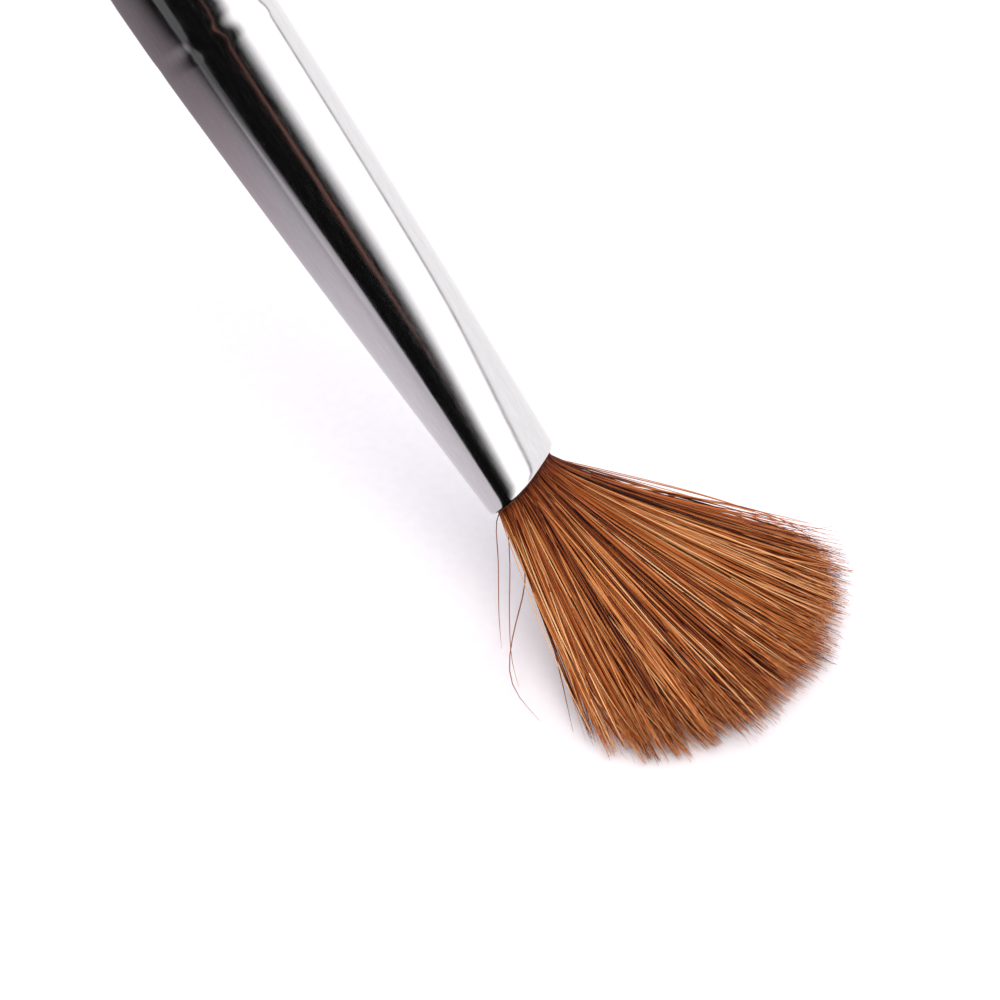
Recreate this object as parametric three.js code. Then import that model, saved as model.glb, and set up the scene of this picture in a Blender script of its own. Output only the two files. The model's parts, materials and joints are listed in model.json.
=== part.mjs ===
// A round sable brush for fine detail work, held at a lean with its hair pressed out on a table.
// Millimetres, +Z up, the table at Z = 0. The brush is built along its own axis first: the mouth of
// the ferrule at z = 0, the handle towards +z and the hair towards -z, with +x the thin way across
// the pressed mouth and +y the wide way. The group's rotation then turns and leans it.
import * as THREE from 'three';

// Pose.
const MOUTH_HEIGHT = 9.65; // mouth centre above the table
const LEAN = 43.6; // degrees of the brush axis from the vertical, handle towards -X
const PRESS_TURN = 13.5; // degrees that the pressed mouth is turned about the brush axis

// Ferrule: a drawn tube of thin sheet, coned to the mouth.
const MOUTH_RADIUS = 2.65; // before the mouth is pressed
const NECK_RADIUS = 3.77; // at the handle end
const CONE_LENGTH = 31.5;
const CONE_BOW = 1.25; // above 1, the cone widens fastest at the mouth
const FERRULE_LENGTH = 40;
const WALL = 0.34;
const CRIMPS = [30.2, 34.8]; // centres of the ring crimps that hold the handle
const CRIMP_WIDTH = 1.6;
const CRIMP_DEPTH = 0.03;
const PRESS_LENGTH = 9.3; // the tube turns from oval to round over this length
const PRESS_SOFTNESS = 0.25; // how softly that change ends, as a share of it
const PRESS_THIN = 0.79; // thin way across the mouth, as a share of round
const PRESS_WIDE = 1.12; // wide way across the mouth
const PRESS_POWER = 0.88; // below 1, the pressed faces are flatter than an oval's
const MOUTH_SKEW = 0.14; // the mouth is cut a little askew, with this slope each way across

// Clearances.
const GAP = 0.3; // between pieces that touch on the real brush
const HINGE_GAP = 0.4; // between the root bundle's round end and the loose hair

// Handle: a turned and lacquered stick with a tenon inside the ferrule.
const TENON_START = 21.5;
const SHOULDER = 40.4;
const HANDLE_END = 186;
const HANDLE_SWELL = [[41.2, 3.9], [62, 4.9], [88, 4.25], [120, 3.05], [155, 2.15], [184.6, 1.75]];
const HANDLE_END_FLAT = 1.35; // radius of the flat cut at the end
const GLUE_GROOVE = [25.5, 29]; // start and end of the glue groove round the tenon
const GLUE_GROOVE_DEPTH = 0.95;

// Hair.
const BUTT = 9; // where the glued hair ends inside the ferrule
const THREAD_WAIST = [5.0, 7.9]; // start and end of the waist that the binding thread fills
const THREAD_WAIST_DEPTH = 0.75;
const THREAD_RADIUS = 0.17;
const THREAD_TURNS = 4;
const PLUG_LENGTH = 2.6; // glue behind the hair butts
const ROOT_END_RADIUS = 2.5; // the root bundle ends round, about the bending axis
const HALF_WIDE = 2.25; // half width of the hair at the mouth
const HALF_THIN = 1.58;
const FAN_MIDDLE = 11; // degrees from +X to the middle of the fan of tips, seen from above
const FAN_HALF = 44.5; // degrees from its middle to either side
const TIP_REACH = 17.9; // from the point below the mouth to the tips in the middle of the fan
const TIP_LIFT = 2.4; // height of the topmost tips above the table
const ROOT_STRAIGHT = 0.08; // share of its length that a hair keeps to the brush's direction
const TIP_STRAIGHT = 0.3; // share of its length over which it meets the table
const LOCK_ROWS = [7, 8, 7]; // hair locks in each layer, from the table side up
const LOCK_FILL = 0.8; // share of its cell that a lock fills at the root
const TIP_TAPER = 0.88;

const steel = { color: 0xb9b6bb, roughness: 0.22, metalness: 1 };
const lacquer = { color: 0x7a3416, roughness: 0.25, metalness: 0 };
const glue = { color: 0xc9b98a, roughness: 0.35, metalness: 0 };
const thread = { color: 0xd8d0bd, roughness: 0.85, metalness: 0 };
const hair = { color: 0x9a5126, roughness: 0.55, metalness: 0 };

// The turn and lean of the brush, and the axis across the mouth that the tuft bends about.
const pose = new THREE.Matrix4()
  .makeRotationY(THREE.MathUtils.degToRad(-LEAN))
  .multiply(new THREE.Matrix4().makeRotationZ(THREE.MathUtils.degToRad(PRESS_TURN)));
const unpose = pose.clone().invert();
const bendingAxis = new THREE.Vector3(0, 1, 0).applyMatrix4(pose);

const brush = new THREE.Group();

function add(name, geometry, finish) {
  const mesh = new THREE.Mesh(geometry, new THREE.MeshStandardMaterial(finish));
  mesh.name = name;
  brush.add(mesh);
}

// Moves every point of a geometry by the function given.
function reshape(geometry, move) {
  const place = geometry.attributes.position;
  const point = new THREE.Vector3();
  for (let i = 0; i < place.count; i += 1) {
    point.fromBufferAttribute(place, i);
    move(point);
    place.setXYZ(i, point.x, point.y, point.z);
  }
  geometry.computeVertexNormals();
  return geometry;
}

// A profile of [radius, z] points turned round the z axis.
function turned(profile, sides) {
  const points = profile.map(([radius, z]) => new THREE.Vector2(radius, z));
  return new THREE.LatheGeometry(points, sides).rotateX(Math.PI / 2);
}

// Depth of the ring crimps at z.
function crimp(z) {
  let depth = 0;
  for (const centre of CRIMPS) {
    const reach = Math.abs(z - centre) / (CRIMP_WIDTH / 2);
    if (reach < 1) depth += CRIMP_DEPTH * (1 + Math.cos(Math.PI * reach)) / 2;
  }
  return depth;
}

function coneRadius(z) {
  const left = 1 - Math.min(z, CONE_LENGTH) / CONE_LENGTH;
  return THREE.MathUtils.lerp(NECK_RADIUS, MOUTH_RADIUS, left ** CONE_BOW);
}

function boreRadius(z) {
  return coneRadius(z) - WALL;
}

// The press that turns the round mouth into a flattened oval.
function press(point) {
  const left = 1 - Math.max(point.z, 0) / PRESS_LENGTH;
  const strength = Math.min(PRESS_SOFTNESS * Math.log1p(Math.exp(left / PRESS_SOFTNESS)), 1);
  const radius = Math.hypot(point.x, point.y) || 1;
  const power = THREE.MathUtils.lerp(1, PRESS_POWER, strength);
  const rounded = (share) => Math.sign(share) * Math.abs(share) ** power;
  point.z += strength * MOUTH_SKEW * (point.x + point.y);
  point.x = radius * rounded(point.x / radius) * THREE.MathUtils.lerp(1, PRESS_THIN, strength);
  point.y = radius * rounded(point.y / radius) * THREE.MathUtils.lerp(1, PRESS_WIDE, strength);
}

function makeFerrule() {
  const heights = [0.8, 3, 5, 7, 9, 11, 13, 16, 20, 25];
  for (const centre of CRIMPS) {
    for (let step = -2; step <= 2; step += 1) heights.push(centre + step * CRIMP_WIDTH / 4);
  }
  heights.push(FERRULE_LENGTH - 0.12);
  const lip = WALL / 2;
  const outer = heights.map((z) => [coneRadius(z) - crimp(z), z]);
  const inner = heights.map((z) => [boreRadius(z) - crimp(z), z]).reverse();
  const rim = [];
  for (let turn = 0; turn <= 4; turn += 1) {
    const angle = Math.PI * turn / 4;
    rim.push([coneRadius(0) - lip - Math.cos(angle) * lip, lip - Math.sin(angle) * lip]);
  }
  const edge = [
    [coneRadius(FERRULE_LENGTH) - 0.1, FERRULE_LENGTH],
    [boreRadius(FERRULE_LENGTH) + 0.1, FERRULE_LENGTH],
  ];
  const profile = [...rim, ...outer, ...edge, ...inner, rim[0]];
  add('ferrule', reshape(turned(profile, 40), press), steel);
}

function makeHandle() {
  const tenon = (z) => [boreRadius(z) - CRIMP_DEPTH - GAP, z];
  const [grooveStart, grooveEnd] = GLUE_GROOVE;
  const swell = new THREE.SplineCurve(HANDLE_SWELL.map(([z, radius]) => new THREE.Vector2(radius, z)));
  const profile = [
    [0, TENON_START],
    [tenon(TENON_START)[0] - 0.5, TENON_START],
    tenon(TENON_START + 0.8),
    tenon(grooveStart),
    [tenon(grooveStart)[0] - GLUE_GROOVE_DEPTH, grooveStart],
    [tenon(grooveEnd)[0] - GLUE_GROOVE_DEPTH, grooveEnd],
    tenon(grooveEnd),
    tenon(CONE_LENGTH),
    tenon(SHOULDER),
    [NECK_RADIUS, SHOULDER],
    ...swell.getPoints(22).map((point) => [point.x, point.y]),
    [HANDLE_END_FLAT + 0.25, HANDLE_END - 0.35],
    [HANDLE_END_FLAT, HANDLE_END],
    [0, HANDLE_END],
  ];
  add('handle', turned(profile, 32), lacquer);
}

function makeTenonGlue() {
  const [start, end] = [GLUE_GROOVE[0] + GAP, GLUE_GROOVE[1] - GAP];
  const outer = (z) => boreRadius(z) - GAP;
  const inner = (z) => boreRadius(z) - CRIMP_DEPTH - GLUE_GROOVE_DEPTH;
  const profile = [
    [inner(start), start],
    [outer(start), start],
    [outer(end), end],
    [inner(end), end],
    [inner(start), start],
  ];
  add('tenon_glue', turned(profile, 32), glue);
}

function makeRootGluePlug() {
  const [start, end] = [BUTT + GAP, BUTT + GAP + PLUG_LENGTH];
  const profile = [
    [0, start],
    [boreRadius(start) - GAP, start],
    [boreRadius(end) - GAP, end],
    [boreRadius(end) - GAP - 0.8, end + 0.5],
    [0, end + 0.25],
  ];
  add('root_glue_plug', turned(profile, 32), glue);
}

// How far out a tip lies from the point on the table below the mouth, across the fan from -1 to 1.
function tipDistance(across) {
  const rounded = across > 0 ? 6.2 : 1.2;
  return TIP_REACH + 2.6 * across - 1.2 * across ** 2 - rounded * across ** 6;
}

// The path of the hair that leaves the mouth at across and through, each -1 to 1 in the round
// bundle: along the brush at first, then straight out to its tip on the table. The mouth's centre is
// the origin, and the axes are the table's.
function hairPath(across, through, shorter = 0) {
  const root = new THREE.Vector3(through * HALF_THIN, across * HALF_WIDE, 0).applyMatrix4(pose);
  const angle = THREE.MathUtils.degToRad(FAN_MIDDLE + FAN_HALF * across);
  const distance = tipDistance(across) - shorter;
  const height = TIP_LIFT * ((through + 1) / 2) ** 1.5;
  const tip = new THREE.Vector3(distance * Math.cos(angle), distance * Math.sin(angle), 0);
  tip.z = height - MOUTH_HEIGHT;
  const way = tip.clone().sub(root);
  const length = way.length();
  const outward = new THREE.Vector3(0, 0, -1).applyMatrix4(pose);
  const early = root.clone().addScaledVector(outward, length * ROOT_STRAIGHT);
  way.z *= 0.7;
  const late = tip.clone().addScaledVector(way.normalize(), -length * TIP_STRAIGHT);
  return new THREE.CubicBezierCurve3(root, early, late, tip);
}

// The share of a hair's length at which it is a given distance from the bending axis.
function shareAtRadius(path, radius) {
  let low = 0;
  let high = 0.5;
  for (let round = 0; round < 20; round += 1) {
    const middle = (low + high) / 2;
    const point = path.getPoint(middle);
    const off = point.clone().addScaledVector(bendingAxis, -point.dot(bendingAxis));
    if (off.length() < radius) low = middle;
    else high = middle;
  }
  return low;
}

function makeRootBundle() {
  const [waistStart, waistEnd] = THREAD_WAIST;
  const inside = [BUTT, BUTT - 0.8, waistEnd, waistEnd, waistStart, waistStart, 2.4, 0.4];
  const waist = new Set([3, 4]);
  const steps = inside.length;
  const move = (point) => {
    const level = Math.round((0.5 - point.y) * steps);
    const [across, through] = [point.x, point.z];
    if (level < steps) {
      const z = inside[level];
      const radius = boreRadius(z) - GAP - (waist.has(level) ? THREAD_WAIST_DEPTH : 0);
      point.set(through * radius, across * radius, z);
      press(point);
    } else {
      const path = hairPath(across * 0.9, through * 0.9);
      point.copy(path.getPoint(shareAtRadius(path, ROOT_END_RADIUS))).applyMatrix4(unpose);
    }
  };
  add('hair_root_bundle', reshape(new THREE.CylinderGeometry(1, 1, 1, 24, steps), move), hair);
}

// Thread wound in a helix round the waist of the root bundle, with its two ends laid in the coil.
function makeBindingThread() {
  const [start, end] = THREAD_WAIST;
  const points = [];
  const steps = THREAD_TURNS * 14;
  for (let step = 0; step <= steps; step += 1) {
    const share = step / steps;
    const angle = 2 * Math.PI * THREAD_TURNS * share;
    const z = THREE.MathUtils.lerp(start + 0.5, end - 0.5, share);
    const radius = boreRadius(z) - GAP - THREAD_WAIST_DEPTH / 2 + 0.1;
    const point = new THREE.Vector3(Math.cos(angle) * radius, Math.sin(angle) * radius, z);
    press(point);
    points.push(point);
  }
  const section = new THREE.Shape().absarc(0, 0, THREAD_RADIUS, 0, 2 * Math.PI);
  const path = new THREE.CatmullRomCurve3(points);
  const options = { steps, extrudePath: path, curveSegments: 3, bevelEnabled: false };
  add('root_binding_thread', new THREE.ExtrudeGeometry(section, options), thread);
}

// One lock of hair: a tapering solid that keeps inside its own cell of the fan.
function makeLock(name, across, through, halfAcross, halfThrough, shorter) {
  const move = (point) => {
    const share = 0.5 - point.y;
    const size = 1 - TIP_TAPER * share ** 1.6;
    const u = across + halfAcross * size * point.x;
    const v = through + halfThrough * size * point.z;
    const path = hairPath(u * Math.sqrt(1 - v * v / 2), v * Math.sqrt(1 - u * u / 2), shorter);
    const start = shareAtRadius(path, ROOT_END_RADIUS + HINGE_GAP);
    point.copy(path.getPoint(THREE.MathUtils.lerp(start, 1, share))).applyMatrix4(unpose);
  };
  add(name, reshape(new THREE.CylinderGeometry(1, 1, 1, 8, 8), move), hair);
}

function makeTuft() {
  let count = 0;
  LOCK_ROWS.forEach((locks, row) => {
    const cell = 2 / locks;
    const layer = 2 / LOCK_ROWS.length;
    for (let i = 0; i < locks; i += 1) {
      count += 1;
      const across = -1 + cell * (i + 0.5);
      const through = -1 + layer * (row + 0.5);
      const shorter = 0.6 + 0.5 * Math.sin(count * 2.4);
      const half = LOCK_FILL / 2;
      const name = `hair_lock_${String(count).padStart(2, '0')}`;
      makeLock(name, across, through, cell * half, layer * half, shorter);
    }
  });
}

makeFerrule();
makeHandle();
makeTenonGlue();
makeRootGluePlug();
makeRootBundle();
makeBindingThread();
makeTuft();

brush.setRotationFromMatrix(pose);

// The origin is the middle of the object's box, at the table.
const group = new THREE.Group();
group.add(brush);
group.updateMatrixWorld(true);
const box = new THREE.Box3().setFromObject(group, true);
const centre = box.getCenter(new THREE.Vector3());
brush.position.set(-centre.x, -centre.y, -box.min.z);

export default group;
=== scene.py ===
"""Looks for the fine detail brush: a nickel-plated ferrule, a lacquered handle and a tuft of sable hair
that is pressed out on a white table. Lengths are in millimetres until they are placed."""
import json
import math

import bpy
import numpy as np
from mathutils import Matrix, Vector


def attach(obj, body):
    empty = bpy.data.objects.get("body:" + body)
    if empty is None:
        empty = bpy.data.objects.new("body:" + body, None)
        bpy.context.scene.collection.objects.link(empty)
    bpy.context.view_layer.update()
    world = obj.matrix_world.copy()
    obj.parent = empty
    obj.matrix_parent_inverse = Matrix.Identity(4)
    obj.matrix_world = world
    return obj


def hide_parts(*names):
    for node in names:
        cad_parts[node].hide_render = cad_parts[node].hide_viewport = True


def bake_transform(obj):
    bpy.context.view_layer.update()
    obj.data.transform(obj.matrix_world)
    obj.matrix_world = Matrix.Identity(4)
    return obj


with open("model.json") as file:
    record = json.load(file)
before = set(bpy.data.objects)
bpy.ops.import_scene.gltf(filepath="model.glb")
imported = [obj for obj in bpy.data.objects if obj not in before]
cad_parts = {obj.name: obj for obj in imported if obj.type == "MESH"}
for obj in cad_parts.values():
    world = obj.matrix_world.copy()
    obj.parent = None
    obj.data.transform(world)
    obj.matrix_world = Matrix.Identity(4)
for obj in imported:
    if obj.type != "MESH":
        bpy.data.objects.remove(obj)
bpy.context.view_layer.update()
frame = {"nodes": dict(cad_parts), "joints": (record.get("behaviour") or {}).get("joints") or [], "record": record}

MM = 0.001
rng = np.random.default_rng(41)

# The brush's own directions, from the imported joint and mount: the mouth of the ferrule, the way to
# the handle, the wide way across the pressed mouth and the thin way, which faces up from the table.
joint = frame["joints"][0]
mounts = {mount["name"]: mount for mount in frame["record"]["mounts"]}
MOUTH = np.array(joint["pos_m"])
UPWARD = np.array(mounts["handle_end"]["axis"])
UPWARD /= np.linalg.norm(UPWARD)
WIDE = -np.array(joint["axis"])
WIDE /= np.linalg.norm(WIDE)
THIN = np.cross(WIDE, UPWARD)
HANDLE_END = float(np.dot(np.array(mounts["handle_end"]["pos_m"]) - MOUTH, UPWARD)) / MM

# Ferrule, as in the CAD part.
MOUTH_RADIUS = 2.65
NECK_RADIUS = 3.77
CONE_LENGTH = 31.5
CONE_BOW = 1.25
FERRULE_LENGTH = 40.0
WALL = 0.34
CRIMPS = (30.2, 34.8)
CRIMP_WIDTH = 1.6
CRIMP_DEPTH = 0.02
PRESS_LENGTH = 9.3
PRESS_SOFTNESS = 0.25
PRESS_THIN = 0.79
PRESS_WIDE = 1.12
PRESS_POWER = 0.88
MOUTH_SKEW = 0.14

# Hair: the fan as in the CAD part, but filling the mouth.
HALF_WIDE = 2.52
HALF_THIN = 1.74
FAN_MIDDLE = 11.0
FAN_HALF = 44.5
TIP_REACH = 17.6
TIP_LIFT = 2.4
ROOT_STRAIGHT = 0.08
TIP_STRAIGHT = 0.3
INSIDE = 1.2
TABLE_CLEARANCE = 0.08
FAR_CORNER_TURN = 5.0
FAR_CORNER_SHORTER = 5.8
HAIRS = 5000
CLUMPS = 150
LOOSE_SHARE = 0.17

# Handle: stations of height and radius from the shoulder to the cut end.
SHOULDER_PROFILE = ((2.2, 40.42), (3.5, 40.42), (3.77, 40.5), (3.87, 40.75))
HANDLE_STATIONS = (
    (40.4, 3.77), (40.55, 3.84), (41.2, 3.9), (50, 4.55), (62, 4.9), (75, 4.72), (88, 4.25),
    (104, 3.62), (120, 3.05), (137, 2.55), (155, 2.15), (170, 1.93), (184.6, 1.75),
)
END_FLAT_RADIUS = 1.35
END_ROUND = 0.38

# Camera: round from -Y towards +X, up from the table, and metres from the mouth, with the small
# shifts that put the mouth a little off the middle of the picture.
CAMERA_ROUND = 37.3
CAMERA_UP = 48
CAMERA_AWAY = 0.1429
CAMERA_LEFT = 0.00125
CAMERA_DOWN = 0.00126


def placed(local):
    """Points given as (thin, wide, along the handle) in millimetres, in the row frame in metres."""
    local = np.asarray(local, float)
    return MOUTH + MM * (local[..., :1] * THIN + local[..., 1:2] * WIDE + local[..., 2:3] * UPWARD)


def smooth(value):
    """An even rise from 0 to 1 that starts and ends level."""
    t = np.clip(value, 0, 1)
    return t * t * (3 - 2 * t)


# ---------------------------------------------------------------- materials


def linear(colour):
    """An sRGB hex colour as the linear colour that a shader takes."""
    parts = [int(colour[i:i + 2], 16) / 255 for i in (1, 3, 5)]
    return tuple(p / 12.92 if p <= 0.04045 else ((p + 0.055) / 1.055) ** 2.4 for p in parts) + (1.0,)


def add_node(tree, kind, inputs=None, stops=None, **settings):
    """Adds a node with its settings, its input values or links, and the stops of its colour ramp."""
    made = tree.nodes.new(kind)
    for name, value in settings.items():
        setattr(made, name, value)
    for name, value in (inputs or {}).items():
        socket = made.inputs[name]
        if isinstance(value, bpy.types.NodeSocket):
            tree.links.new(value, socket)
        else:
            socket.default_value = value
    if stops:
        elements = made.color_ramp.elements
        while len(elements) < len(stops):
            elements.new(0.5)
        for element, (position, colour) in zip(elements, stops):
            element.position = position
            element.color = colour if isinstance(colour, tuple) else linear(colour)
    return made


def new_material(name):
    """A material with its node tree and its main shader."""
    material = bpy.data.materials.new(name)
    material.use_nodes = True
    tree = material.node_tree
    return material, tree, tree.nodes["Principled BSDF"]


def nickel():
    """Nickel-plated brass sheet, drawn and polished: a warm grey mirror with faint turning marks
    round it, and a few soft smears that only show in the greys of a reflection."""
    material, tree, shader = new_material("nickel_plated_brass_polished")
    place = add_node(tree, "ShaderNodeAttribute", attribute_name="place_mm")
    turning_scale = add_node(
        tree, "ShaderNodeMapping", {"Vector": place.outputs["Vector"], "Scale": (0.5, 0.5, 14.0)},
    )
    turning = add_node(
        tree, "ShaderNodeTexNoise",
        {"Vector": turning_scale.outputs["Vector"], "Scale": 1.0, "Detail": 5.0, "Roughness": 0.65},
    )
    scuff_scale = add_node(
        tree, "ShaderNodeMapping",
        {"Vector": place.outputs["Vector"], "Scale": (5.0, 5.0, 0.9), "Rotation": (0.5, 0.35, 0.0)},
    )
    scuffs = add_node(
        tree, "ShaderNodeTexNoise",
        {"Vector": scuff_scale.outputs["Vector"], "Scale": 1.0, "Detail": 4.0, "Roughness": 0.7},
    )
    both = add_node(
        tree, "ShaderNodeMix", {"Factor": 0.45, "A": turning.outputs["Fac"], "B": scuffs.outputs["Fac"]},
        data_type="FLOAT",
    )
    bump = add_node(
        tree, "ShaderNodeBump", {"Height": both.outputs["Result"], "Strength": 0.06, "Distance": 0.00002},
    )
    rough = add_node(
        tree, "ShaderNodeMapRange",
        {"Value": scuffs.outputs["Fac"], "From Min": 0.3, "From Max": 0.75, "To Min": 0.07, "To Max": 0.15},
    )
    tint = add_node(
        tree, "ShaderNodeValToRGB", {"Fac": scuffs.outputs["Fac"]},
        [(0.25, "#d0cdd0"), (0.75, "#dcd9db")],
    )
    tree.links.new(tint.outputs["Color"], shader.inputs["Base Color"])
    tree.links.new(rough.outputs["Result"], shader.inputs["Roughness"])
    tree.links.new(bump.outputs["Normal"], shader.inputs["Normal"])
    shader.inputs["Metallic"].default_value = 1.0
    return material


def sable_hair():
    """Kolinsky-type sable hair: red-brown, glossy along each hair, with paler and darker hairs mixed, and painted
    shade that darkens each hair towards its roots. Each hair carries its own tone and its place along its length."""
    material, tree, shader = new_material("sable_hair_dressed")
    tone = add_node(tree, "ShaderNodeAttribute", attribute_name="tone")
    along = add_node(tree, "ShaderNodeAttribute", attribute_name="along")
    hair_colour = add_node(
        tree, "ShaderNodeValToRGB", {"Fac": tone.outputs["Fac"]},
        [(0.0, "#2a0500"), (0.2, "#6c2704"), (0.5, "#bd6a30"), (0.8, "#dc9a5e"), (1.0, "#f3c796")],
    )
    # Painted shade: darkens each hair towards its roots, where the hairs crowd into the mouth.
    painted_root_shade = add_node(
        tree, "ShaderNodeValToRGB", {"Fac": along.outputs["Fac"]},
        [(0.0, "#6b401c"), (0.14, "#a8804c"), (0.34, "#e4d0b4"), (0.6, "#fffaf0"), (0.9, "#fff4e6")],
    )
    colour = add_node(
        tree, "ShaderNodeMix",
        {"Factor": 1.0, "A": hair_colour.outputs["Color"], "B": painted_root_shade.outputs["Color"]},
        data_type="RGBA", blend_type="MULTIPLY",
    )
    tree.links.new(colour.outputs["Result"], shader.inputs["Base Color"])
    shader.inputs["Roughness"].default_value = 0.34
    shader.inputs["Specular IOR Level"].default_value = 0.22
    return material


def lacquered_wood():
    """Turned hardwood, stained red-brown, under several coats of clear gloss lacquer: fine pores and
    streaks run along the stick below a smooth, wet-looking surface."""
    material, tree, shader = new_material("stained_birch_gloss_lacquered")
    place = add_node(tree, "ShaderNodeAttribute", attribute_name="place_mm")
    stretched = add_node(
        tree, "ShaderNodeMapping", {"Vector": place.outputs["Vector"], "Scale": (1.6, 1.6, 0.05)},
    )
    streaks = add_node(
        tree, "ShaderNodeTexNoise",
        {
            "Vector": stretched.outputs["Vector"], "Scale": 1.0, "Detail": 6.0, "Roughness": 0.6,
            "Distortion": 0.4,
        },
    )
    pore_scale = add_node(
        tree, "ShaderNodeMapping", {"Vector": place.outputs["Vector"], "Scale": (9.0, 9.0, 0.6)},
    )
    pores = add_node(
        tree, "ShaderNodeTexNoise",
        {"Vector": pore_scale.outputs["Vector"], "Scale": 1.0, "Detail": 2.0, "Roughness": 0.5},
    )
    wood = add_node(
        tree, "ShaderNodeValToRGB", {"Fac": streaks.outputs["Fac"]},
        [(0.3, "#4a1a0b"), (0.48, "#7c3315"), (0.62, "#96471f"), (0.78, "#b0602e")],
    )
    pore_colour = add_node(
        tree, "ShaderNodeValToRGB", {"Fac": pores.outputs["Fac"]},
        [(0.3, "#5c4438"), (0.42, "#ffffff")],
    )
    colour = add_node(
        tree, "ShaderNodeMix",
        {"Factor": 0.8, "A": wood.outputs["Color"], "B": pore_colour.outputs["Color"]},
        data_type="RGBA", blend_type="MULTIPLY",
    )
    ripple = add_node(
        tree, "ShaderNodeTexNoise", {"Vector": place.outputs["Vector"], "Scale": 0.35, "Detail": 2.0},
    )
    bump = add_node(
        tree, "ShaderNodeBump", {"Height": ripple.outputs["Fac"], "Strength": 0.25, "Distance": 0.0001},
    )
    tree.links.new(colour.outputs["Result"], shader.inputs["Base Color"])
    tree.links.new(bump.outputs["Normal"], shader.inputs["Normal"])
    shader.inputs["Roughness"].default_value = 0.32
    shader.inputs["Coat Weight"].default_value = 1.0
    shader.inputs["Coat Roughness"].default_value = 0.06
    return material


def set_glue():
    """Set brush-maker's glue: amber, a little cloudy, with small swirls where it was stirred."""
    material, tree, shader = new_material("epoxy_glue_set")
    place = add_node(tree, "ShaderNodeTexCoord")
    swirl = add_node(
        tree, "ShaderNodeTexNoise", {"Vector": place.outputs["Object"], "Scale": 900.0, "Detail": 3.0},
    )
    colour = add_node(
        tree, "ShaderNodeValToRGB", {"Fac": swirl.outputs["Fac"]}, [(0.3, "#b79f63"), (0.7, "#d6c493")],
    )
    tree.links.new(colour.outputs["Color"], shader.inputs["Base Color"])
    shader.inputs["Roughness"].default_value = 0.3
    return material


def linen_thread():
    """Waxed linen thread: off-white, with the slubs and twist of two plies."""
    material, tree, shader = new_material("linen_thread_waxed")
    place = add_node(tree, "ShaderNodeTexCoord")
    slubs = add_node(
        tree, "ShaderNodeTexNoise", {"Vector": place.outputs["Object"], "Scale": 4000.0, "Detail": 2.0},
    )
    colour = add_node(
        tree, "ShaderNodeValToRGB", {"Fac": slubs.outputs["Fac"]}, [(0.3, "#b9ac8c"), (0.7, "#e4dcc6")],
    )
    tree.links.new(colour.outputs["Color"], shader.inputs["Base Color"])
    shader.inputs["Roughness"].default_value = 0.8
    return material


# ---------------------------------------------------------------- meshes


def new_piece(name, points, faces, material):
    """A smooth-shaded piece of the brush, put in the scene under its material slot."""
    mesh = bpy.data.meshes.new(name)
    mesh.from_pydata(points.tolist(), [], faces)
    mesh.polygons.foreach_set("use_smooth", np.ones(len(faces), bool))
    mesh.materials.append(material)
    mesh.update()
    piece = bpy.data.objects.new(name, mesh)
    bpy.context.scene.collection.objects.link(piece)
    return piece


def add_attribute(mesh, name, values):
    """Gives every point of a mesh a number, or three, that its material reads."""
    kind = "FLOAT_VECTOR" if values.ndim == 2 else "FLOAT"
    attribute = mesh.attributes.new(name, kind, "POINT")
    attribute.data.foreach_set("vector" if values.ndim == 2 else "value", values.astype(np.float32).ravel())


def turned_piece(name, profile, sides, material, shape=None, closed=False):
    """A profile of (radius, height) points turned round the brush's axis, then shaped."""
    angle = np.linspace(0, 2 * math.pi, sides, endpoint=False)
    profile = np.asarray(profile, float)
    ring = np.stack([np.cos(angle), np.sin(angle)], -1)
    heights = np.broadcast_to(profile[:, None, 1:], (len(profile), sides, 1))
    local = np.concatenate([profile[:, None, :1] * ring[None], heights], -1).reshape(-1, 3)
    if shape:
        local = shape(local)
    faces = []
    rings = len(profile)
    for i in range(rings if closed else rings - 1):
        low, high = i * sides, ((i + 1) % rings) * sides
        for j in range(sides):
            k = (j + 1) % sides
            faces.append((low + j, low + k, high + k, high + j))
    if not closed:
        faces.append(tuple(range(sides))[::-1])
        faces.append(tuple(range((rings - 1) * sides, rings * sides)))
    piece = new_piece(name, placed(local), faces, material)
    add_attribute(piece.data, "place_mm", local)
    return piece


def cone_radius(z):
    """Outer radius of the ferrule, which bows slightly from the mouth to its straight neck."""
    left = 1 - np.minimum(z, CONE_LENGTH) / CONE_LENGTH
    return NECK_RADIUS - (NECK_RADIUS - MOUTH_RADIUS) * left ** CONE_BOW


def crimp(z):
    """How deep the two ring crimps sink the wall at this height."""
    depth = np.zeros_like(z)
    for centre in CRIMPS:
        reach = np.minimum(np.abs(z - centre) / (CRIMP_WIDTH / 2), 1)
        depth += CRIMP_DEPTH * (1 + np.cos(math.pi * reach)) / 2
    return depth


def press(local):
    """Presses the round tube between two flat jaws over its last few millimetres."""
    left = 1 - np.clip(local[:, 2], 0, None) / PRESS_LENGTH
    strength = np.minimum(PRESS_SOFTNESS * np.logaddexp(0, left / PRESS_SOFTNESS), 1)
    radius = np.hypot(local[:, 0], local[:, 1])
    cosine, sine = local[:, 0] / radius, local[:, 1] / radius
    power = 1 + (PRESS_POWER - 1) * strength
    thin = 1 + (PRESS_THIN - 1) * strength
    wide = 1 + (PRESS_WIDE - 1) * strength
    pressed = local.copy()
    pressed[:, 2] += strength * MOUTH_SKEW * (local[:, 0] + local[:, 1])
    pressed[:, 0] = radius * thin * np.sign(cosine) * np.abs(cosine) ** power
    pressed[:, 1] = radius * wide * np.sign(sine) * np.abs(sine) ** power
    return pressed


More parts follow.
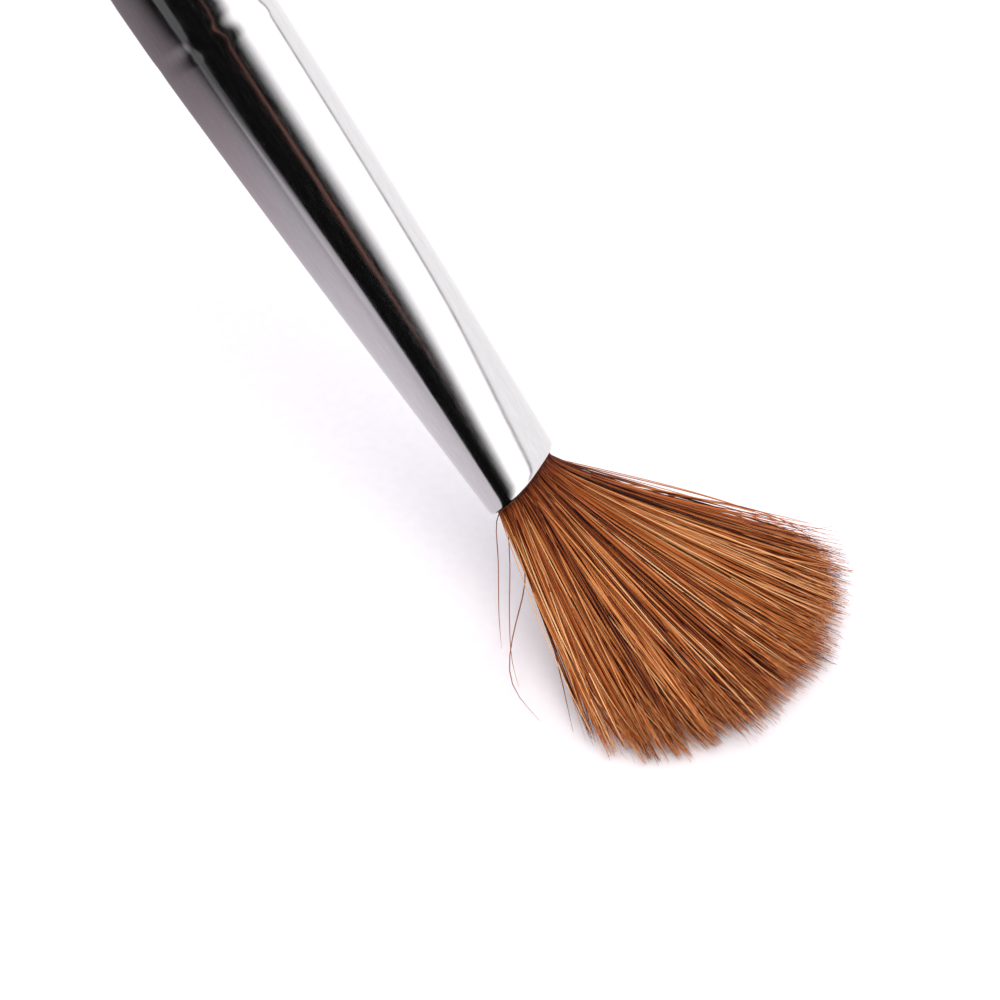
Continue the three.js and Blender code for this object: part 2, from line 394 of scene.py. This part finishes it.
def ferrule_shell():
    """The drawn tube, inside and out, with its rolled lip at the mouth and its crimps."""
    heights = np.concatenate([
        np.linspace(0.35, 29, 90),
        np.linspace(29.4, 35.8, 90),
        np.linspace(36.2, FERRULE_LENGTH - 0.12, 6),
    ])
    lip = WALL / 2
    turn = np.linspace(0, math.pi, 13)
    rim = np.stack([cone_radius(0.0) - lip - np.cos(turn) * lip, lip - np.sin(turn) * lip], -1)
    outer = np.stack([cone_radius(heights) - crimp(heights), heights], -1)
    inner = np.stack([cone_radius(heights) - WALL - crimp(heights), heights], -1)[::-1]
    edge = np.array([
        [NECK_RADIUS - 0.03, FERRULE_LENGTH - 0.03],
        [NECK_RADIUS - 0.1, FERRULE_LENGTH],
        [NECK_RADIUS - WALL + 0.1, FERRULE_LENGTH],
    ])
    profile = np.concatenate([rim, outer, edge, inner])
    piece = turned_piece("ferrule_shell", profile, 224, nickel(), press, closed=True)
    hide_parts("ferrule")
    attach(piece, "brush")


def handle_stick():
    """The turned stick: a swelling belly that tapers to a small rounded, flat-cut end."""
    stations = np.array(HANDLE_STATIONS)
    heights = np.linspace(41.2, 184.6, 150)
    radii = np.interp(heights, stations[:, 0], stations[:, 1])
    evened = np.convolve(np.pad(radii, 4, mode="edge"), np.ones(9) / 9, "valid")
    body = np.stack([evened, heights], -1)
    turn = np.linspace(0, math.pi / 2, 8)
    end = np.stack([
        END_FLAT_RADIUS + END_ROUND * np.cos(turn),
        HANDLE_END - END_ROUND + END_ROUND * np.sin(turn),
    ], -1)
    profile = np.concatenate([np.array(SHOULDER_PROFILE), body, end])
    piece = turned_piece("handle_stick", profile, 128, lacquered_wood())
    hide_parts("handle")
    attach(piece, "brush")


# ---------------------------------------------------------------- hair


def strand_mesh(name, paths, radii, tones, material, sides=4):
    """Tapering hairs along the paths given, as one mesh. paths is hairs x points x 3."""
    hairs, count, _ = paths.shape
    tangent = np.gradient(paths, axis=1)
    tangent /= np.linalg.norm(tangent, axis=-1, keepdims=True)
    first = np.cross(tangent, THIN)
    first /= np.linalg.norm(first, axis=-1, keepdims=True)
    second = np.cross(first, tangent)
    angle = np.linspace(0, 2 * math.pi, sides, endpoint=False)
    ring = (
        paths[:, :, None]
        + radii[:, :, None, None] * MM
        * (np.cos(angle)[:, None] * first[:, :, None] + np.sin(angle)[:, None] * second[:, :, None])
    )
    points = ring.reshape(-1, 3)
    index = np.arange(hairs * count * sides).reshape(hairs, count, sides)
    turned_on = np.roll(index, -1, axis=2)
    quads = np.stack(
        [index[:, :-1], turned_on[:, :-1], turned_on[:, 1:], index[:, 1:]], -1,
    ).reshape(-1, 4)
    caps = np.concatenate([index[:, 0, ::-1], index[:, -1]])
    piece = new_piece(name, points, quads.tolist() + caps.tolist(), material)
    share = np.broadcast_to(np.linspace(0, 1, count)[None, :, None], (hairs, count, sides))
    add_attribute(piece.data, "along", share.ravel())
    add_attribute(piece.data, "tone", np.broadcast_to(tones[:, None, None], (hairs, count, sides)).ravel())
    return piece


def in_disc(count):
    """Random places in the round bundle of hair: across and through, each -1 to 1."""
    radius = np.sqrt(rng.uniform(0, 1, count))
    angle = rng.uniform(0, 2 * math.pi, count)
    return radius * np.cos(angle), radius * np.sin(angle)


def tip_places(across, through, longer, turn, lift):
    """Tips of the hairs, in millimetres from the mouth, in the table's axes. Seen from above they lie
    in a fan about the mouth, and the hairs from the upper side of the bundle end a little higher."""
    far = np.clip(across, 0, None)
    angle = np.radians(FAN_MIDDLE + FAN_HALF * across - FAR_CORNER_TURN * far ** 3 + turn)
    distance = TIP_REACH + 2.6 * across - 1.2 * across ** 2 - 1.2 * across ** 6 + longer
    distance -= FAR_CORNER_SHORTER * far ** 5
    height = TIP_LIFT * np.clip((through + 1) / 2, 0, 1) ** 1.5 + lift
    return np.stack([distance * np.cos(angle), distance * np.sin(angle), height - MOUTH[2] / MM], -1)


def curves(roots, aims, tips, sway, steps):
    """Hairs from the mouth to their tips: along the brush at first, then nearly straight, with the
    last stretch drawn over to the tip. sway moves the middle of each hair. The result is in the row
    frame, in metres."""
    way = aims - roots
    length = np.linalg.norm(way, axis=-1, keepdims=True)
    early = roots - UPWARD * length * ROOT_STRAIGHT + 0.4 * sway
    flatter = way * (1, 1, 0.7)
    flatter /= np.linalg.norm(flatter, axis=-1, keepdims=True)
    late = aims - flatter * length * TIP_STRAIGHT + sway
    t = np.linspace(0, 1, steps)[None, :, None]
    points = (
        (1 - t) ** 3 * roots[:, None] + 3 * t * (1 - t) ** 2 * early[:, None]
        + 3 * t * t * (1 - t) * late[:, None] + t ** 3 * tips[:, None]
    )
    points = np.concatenate([(roots + UPWARD * INSIDE)[:, None], points], 1)
    over_table = (points[..., 2] + MOUTH[2] / MM - TABLE_CLEARANCE) / 0.12
    points[..., 2] = 0.12 * np.logaddexp(0, over_table) + TABLE_CLEARANCE - MOUTH[2] / MM
    return MOUTH + MM * points


def tuft_paths(count, steps):
    """Hairs that run side by side and cross a little, and draw together into points at their tips,
    most of all on the side that is pressed hardest."""
    across, through = in_disc(count)
    clump_across, clump_through = in_disc(CLUMPS)
    layered = np.where(clump_across < -0.3, 0.08, 0.4)
    apart = (across[:, None] - clump_across) ** 2 + layered * (through[:, None] - clump_through) ** 2
    own = apart.argmin(1)
    pull = rng.uniform(0.1, 0.6, CLUMPS) + 0.5 * smooth(-1.6 * clump_across)
    pull = np.clip(pull[own] * rng.uniform(0.7, 1.1, count), 0, 0.96)
    loose = rng.uniform(size=count) < LOOSE_SHARE
    pull[loose] = 0
    u = across + (clump_across[own] - across) * pull
    v = through + (clump_through[own] - through) * pull
    roots = through[:, None] * HALF_THIN * THIN + across[:, None] * HALF_WIDE * WIDE
    middle = 1 - across ** 4
    cross = np.where(loose, 4.4, 2.5) * rng.normal(0, 1, count) * (0.3 + 0.7 * middle)
    longer = rng.normal(0, 0.5, CLUMPS)[own] - rng.exponential(0.7, count) + 0.45
    turn = rng.normal(0, 1.0, CLUMPS)[own] * middle + cross
    lift = np.where(loose, 0.34, 0.14) * rng.normal(0, 1, count) + rng.normal(0, 0.2, CLUMPS)[own]
    aims = tip_places(across + (u - across) * 0.4, through, longer, turn, np.abs(lift))
    own_turn = rng.normal(0, 2.2, CLUMPS)[own] * smooth(-2 * clump_across[own])
    tips = tip_places(u, v, longer, turn * (1 - pull) + own_turn, np.abs(lift))
    sway = rng.normal(0, 0.12, (CLUMPS, 3))[own]
    sway += rng.normal(0, 1, (count, 3)) * np.where(loose, 0.7, 0.38)[:, None]
    tones = 0.44 + rng.normal(0, 0.05, CLUMPS)[own] + rng.normal(0, 0.29, count) + 0.12 * loose
    return curves(roots, aims, tips, sway, steps), np.clip(tones, 0, 1), across


# Single hairs that have come away from the fan. Each route is a few points set to half a millimetre
# from the mouth, in the table's axes: four hang down on the near left, and one stands off the far side.
STRAYS = (
    ((-0.5, -2.0, -1.5), (1.0, -3.5, -3.0), (2.5, -5.5, -5.0), (3.5, -6.5, -6.5)),
    ((0.0, -1.0, -2.0), (2.5, -2.5, -4.5), (3.5, -5.5, -6.0), (4.5, -7.5, -8.0), (7.0, -7.5, -9.4)),
    ((0.5, -1.5, -2.0), (3.5, -3.0, -4.5), (6.5, -5.0, -7.5), (9.0, -7.0, -9.4)),
    ((0.0, -1.5, -2.0), (1.5, -3.0, -3.5), (2.5, -4.5, -4.5), (4.5, -7.0, -6.5), (5.5, -7.5, -7.5)),
    ((7.0, 8.0, -4.0), (11.0, 11.0, -5.5), (13.5, 12.0, -7.5)),
)


def stray_paths(steps):
    """Smooth paths through the places of each stray, starting inside the mouth."""
    paths = []
    for places in STRAYS:
        inside = np.array([-0.05 * WIDE + 0.6 * UPWARD, -0.3 * WIDE - 0.4 * UPWARD])
        places = np.concatenate([inside, places])
        length = np.cumsum(np.linalg.norm(np.diff(places, axis=0, prepend=places[:1]), axis=1))
        even = np.linspace(0, length[-1], 4 * steps)
        path = np.stack([np.interp(even, length, places[:, axis]) for axis in range(3)], -1)
        for _ in range(3 * steps):
            path[1:-1] = (path[:-2] + 2 * path[1:-1] + path[2:]) / 4
        keep = np.linspace(0, len(path) - 1, steps + 1).round().astype(int)
        paths.append(MOUTH + MM * path[keep])
    return np.array(paths)


def hair_tuft(material):
    """All the hair, shared out from side to side among pieces that each stand for two locks."""
    count = HAIRS
    steps = 18
    paths, tones, across = tuft_paths(count, steps)
    strays = stray_paths(steps)
    paths = np.concatenate([strays, paths])
    tones = np.concatenate([np.full(len(strays), 0.3), tones])
    across = np.concatenate([np.full(len(strays) - 1, -1.0), [1.0], across])
    count = len(paths)
    share = np.linspace(0, 1, steps + 1)[None]
    swell = np.interp(share, [0, 0.25, 0.6, 0.85, 1], [0.031, 0.038, 0.043, 0.031, 0.008])
    radii = swell * rng.uniform(0.7, 1.25, (count, 1))
    groups = np.array_split(np.argsort(across), 11)
    locks = sorted(frame["record"]["behaviour"]["bodies"]["tuft"])
    for number, group in enumerate(groups):
        name = f"hair_strands_{number + 1:02d}"
        piece = strand_mesh(name, paths[group], radii[group], tones[group], material)
        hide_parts(*locks[2 * number:2 * number + 2])
        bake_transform(piece)


def root_plug(material):
    """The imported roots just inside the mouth, which close the ferrule behind the loose hair."""
    profile = np.array([(1.4, 0.7), (2.15, 1.2), (2.3, 8.0), (2.2, 8.6), (1.2, 8.8)])
    piece = turned_piece("hair_root_plug", profile, 64, material, press)
    # Along 0 gives the plug the darkest end of the painted root shade.
    add_attribute(piece.data, "along", np.zeros(len(piece.data.vertices)))
    add_attribute(piece.data, "tone", np.full(len(piece.data.vertices), 0.25))
    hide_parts("hair_root_bundle")
    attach(piece, "brush")


# ---------------------------------------------------------------- table, light and camera


def glow_shell(name, points, faces, colours):
    """Part of the painted reflection round the brush: a glowing shell, no lamp, which shows only in reflections.
    """
    mesh = bpy.data.meshes.new(name)
    mesh.from_pydata(points.tolist(), [], faces)
    glow = mesh.attributes.new("glow", "FLOAT_COLOR", "POINT")
    glow.data.foreach_set("color", np.concatenate([colours, np.ones((len(colours), 1))], 1).ravel())
    material = bpy.data.materials.new(name)
    material.use_nodes = True
    tree = material.node_tree
    tree.nodes.clear()
    colour = add_node(tree, "ShaderNodeAttribute", attribute_name="glow")
    shine = add_node(tree, "ShaderNodeEmission", {"Color": colour.outputs["Color"]})
    add_node(tree, "ShaderNodeOutputMaterial", {"Surface": shine.outputs["Emission"]})
    mesh.materials.append(material)
    made = bpy.data.objects.new(name, mesh)
    bpy.context.scene.collection.objects.link(made)
    for ray in ("camera", "diffuse", "shadow", "transmission"):
        setattr(made, "visible_" + ray, False)


def grid_faces(rows, columns):
    """The four-sided faces of a grid of points."""
    index = np.arange(rows * columns).reshape(rows, columns)
    corners = [index[:-1, :-1], index[:-1, 1:], index[1:, 1:], index[1:, :-1]]
    return np.stack(corners, -1).reshape(-1, 4).tolist()


# The painted reflection's walls, by height in degrees: where the painted black band ends, and where full white
# starts.
# Directions run round in degrees from -Y towards +X, which is the side the viewer stands on.
WALL_UP = (0, 12, 24, 36, 60)
DARK_BAND_END = (28, 40, 56, 66, 100)
WHITE_START = (52, 62, 80, 107, 135)
WALL_WHITE = 1.75
REFLECTION_SHELL_RADIUS = 2.0

# The painted reflection's floor, in millimetres from the mouth: where its painted lit part ends, and how bright
# the painted strip along that edge is, going away from the mouth towards the viewer.
FLOOR_AHEAD = (0, 50, 100, 600)
FLOOR_EDGE = (-1, 3.5, 10, 115)
STRIP_AHEAD = (50, 100, 200, 330)
STRIP_LEVEL = (0, 0.32, 0.45, 0.15)
FLOOR_LIFT = 0.00004
BARELY_LIT = 0.005


def painted_reflection_stripe(turn, up):
    """A brown stripe of painted reflection inside the dark band, which leans over as it rises."""
    rise = np.clip(up - 16, 0, 24)
    middle = 43 + 0.88 * rise - 0.0105 * rise ** 2
    stripe = np.exp(-((turn - middle) / 1.5) ** 2) * smooth((up - 14) / 5)
    stripe *= np.interp(up, [16, 22, 27, 31, 40], [0.7, 1.2, 1.2, 0.7, 0.5])
    return stripe[:, None] * np.array([0.24, 0.11, 0.085])


def painted_reflection_walls():
    """A painted reflection: a glowing white dome with a painted black band towards the viewer. Going round from
    the left: a painted bright side, the black band with one painted brown stripe in it, a soft change to white,
    and a thin painted dark line low at the back."""
    turn = np.linspace(-180, 180, 961)
    up = np.linspace(-1, 90, 300)
    turn, up = (values.ravel() for values in np.meshgrid(turn, up))
    dark_band_end = np.interp(up, WALL_UP, DARK_BAND_END)
    white_start = np.interp(up, WALL_UP, WHITE_START)
    white = smooth((turn - dark_band_end) / (white_start - dark_band_end)) ** 0.8
    level = BARELY_LIT + WALL_WHITE * white
    back = smooth((turn - 96) / 20)
    # Painted dark line low at the back, with painted grey below it.
    level -= 1.4 * back * np.exp(-((up - 12.5) / 1.6) ** 2) * white
    level -= 0.52 * smooth((turn - 100) / 20) * smooth((12.5 - up) / 2)
    left = smooth((11 - turn) / 2)
    level += left * np.interp(up, [0, 6, 20, 50, 90], [0.12, 0.12, 0.3, 0.8, 1.0])
    colours = level[:, None] * np.ones(3) + painted_reflection_stripe(turn, up)
    turn, up = np.radians(turn), np.radians(up)
    ways = np.stack([np.sin(turn) * np.cos(up), -np.cos(turn) * np.cos(up), np.sin(up)], -1)
    glow_shell("painted_reflection_walls", MOUTH + REFLECTION_SHELL_RADIUS * ways, grid_faces(300, 961), colours)


def painted_reflection_floor():
    """Painted reflection of the table as the metal sees it: painted light beside the hair, falling off to the left
    and towards the viewer, painted shade under the dark band, a brighter painted strip along the edge between
    them, and white at the back."""
    turn = np.radians(np.linspace(-180, 180, 961))
    out = np.geomspace(2.0, 2000.0, 160)
    turn, out = np.meshgrid(turn, out)
    x, y = (out * np.sin(turn)).ravel(), (-out * np.cos(turn)).ravel()
    edge = np.interp(-y, FLOOR_AHEAD, FLOOR_EDGE)
    # Painted shade: the reflected table goes dark past the edge, under the dark band.
    near = smooth((edge - x) / (0.4 + 0.02 * np.hypot(x, y)) + 0.5)
    ahead = np.clip(-y, 1, None)
    # Painted light on the reflected table: brightest beside the hair, falling off to the left and towards the
    # viewer.
    lit = 0.86 - 0.64 * smooth((-x - 11) / 42)
    lit *= np.exp(-(ahead / 112) ** 1.6)
    # A brighter painted strip along that edge.
    strip = 1 - smooth((edge - x - 0.16 * ahead) / (0.08 * ahead))
    strip *= np.interp(ahead, STRIP_AHEAD, STRIP_LEVEL)
    back = smooth((y - 4) / 14)
    level = (lit + strip) * near * (1 - back) + 1.2 * back + BARELY_LIT
    points = np.stack([x * MM + MOUTH[0], y * MM + MOUTH[1], np.full(x.shape, FLOOR_LIFT)], -1)
    # A warmer tint painted into the far left of the reflection.
    warmth = smooth((-x - 24) / 16)[:, None]
    tint = np.where(back[:, None] > 0.5, 1.0, [1.0, 0.955, 1.005] + warmth * [0.04, -0.05, -0.03])
    glow_shell("painted_reflection_floor", points, grid_faces(160, 961), level[:, None] * tint)


def table_top():
    """A sheet of matt white paper under the brush, with the faint tooth of its surface."""
    mesh = bpy.data.meshes.new("table_top")
    half = 3.0
    corners = [(-half, -half, 0), (half, -half, 0), (half, half, 0), (-half, half, 0)]
    mesh.from_pydata(corners, [], [(0, 1, 2, 3)])
    material, tree, shader = new_material("white_paper_sheet_matt")
    place = add_node(tree, "ShaderNodeTexCoord")
    tooth = add_node(
        tree, "ShaderNodeTexNoise", {"Vector": place.outputs["Object"], "Scale": 1500.0, "Detail": 2.0},
    )
    colour = add_node(
        tree, "ShaderNodeValToRGB", {"Fac": tooth.outputs["Fac"]}, [(0.2, "#f1f0f2"), (0.8, "#f6f5f7")],
    )
    tree.links.new(colour.outputs["Color"], shader.inputs["Base Color"])
    shader.inputs["Roughness"].default_value = 0.9
    shader.inputs["Specular IOR Level"].default_value = 0.1
    mesh.materials.append(material)
    made = bpy.data.objects.new("table_top", mesh)
    bpy.context.scene.collection.objects.link(made)
    made.location.z = -0.00002


def room():
    """Even white light from all round."""
    world = bpy.data.worlds.new("white_room")
    bpy.context.scene.world = world
    world.use_nodes = True
    background = world.node_tree.nodes["Background"]
    background.inputs["Color"].default_value = linear("#f6f3fb")
    background.inputs["Strength"].default_value = 1.03


def overhead_light():
    """A soft box above the table."""
    data = bpy.data.lights.new("overhead_softbox", "AREA")
    data.shape = "SQUARE"
    data.size = 0.4
    data.energy = 2.0
    data.color = linear("#fffaf4")[:3]
    made = bpy.data.objects.new("overhead_softbox", data)
    made.location = (MOUTH[0] + 0.11, MOUTH[1] - 0.14, 0.57)
    towards_brush = Vector((MOUTH[0], MOUTH[1], 0)) - made.location
    made.rotation_euler = towards_brush.to_track_quat("-Z", "Y").to_euler()
    made.visible_camera = False
    bpy.context.scene.collection.objects.link(made)


def camera():
    """A long lens close above the tuft, looking down at the mouth of the ferrule."""
    azimuth, elevation = math.radians(CAMERA_ROUND), math.radians(CAMERA_UP)
    back = Vector((
        math.sin(azimuth) * math.cos(elevation),
        -math.cos(azimuth) * math.cos(elevation),
        math.sin(elevation),
    ))
    right = Vector((math.cos(azimuth), math.sin(azimuth), 0))
    up = back.cross(right)
    data = bpy.data.cameras.new("camera")
    data.lens = 90
    data.sensor_width = 36
    data.clip_start = 0.01
    made = bpy.data.objects.new("camera", data)
    made.location = Vector(MOUTH) + back * CAMERA_AWAY - right * CAMERA_LEFT - up * CAMERA_DOWN
    made.rotation_mode = "QUATERNION"
    made.rotation_quaternion = (-back).to_track_quat("-Z", "Y")
    bpy.context.scene.collection.objects.link(made)
    bpy.context.scene.camera = made


camera()
room()
overhead_light()
painted_reflection_walls()
painted_reflection_floor()
table_top()
ferrule_shell()
handle_stick()
hair = sable_hair()
hair_tuft(hair)
root_plug(hair)
glue = set_glue()
hidden = {"tenon_glue": glue, "root_glue_plug": glue, "root_binding_thread": linen_thread()}
for name, material in hidden.items():
    frame["nodes"][name].data.materials.clear()
    frame["nodes"][name].data.materials.append(material)
bpy.context.scene.view_settings.view_transform = "Standard"
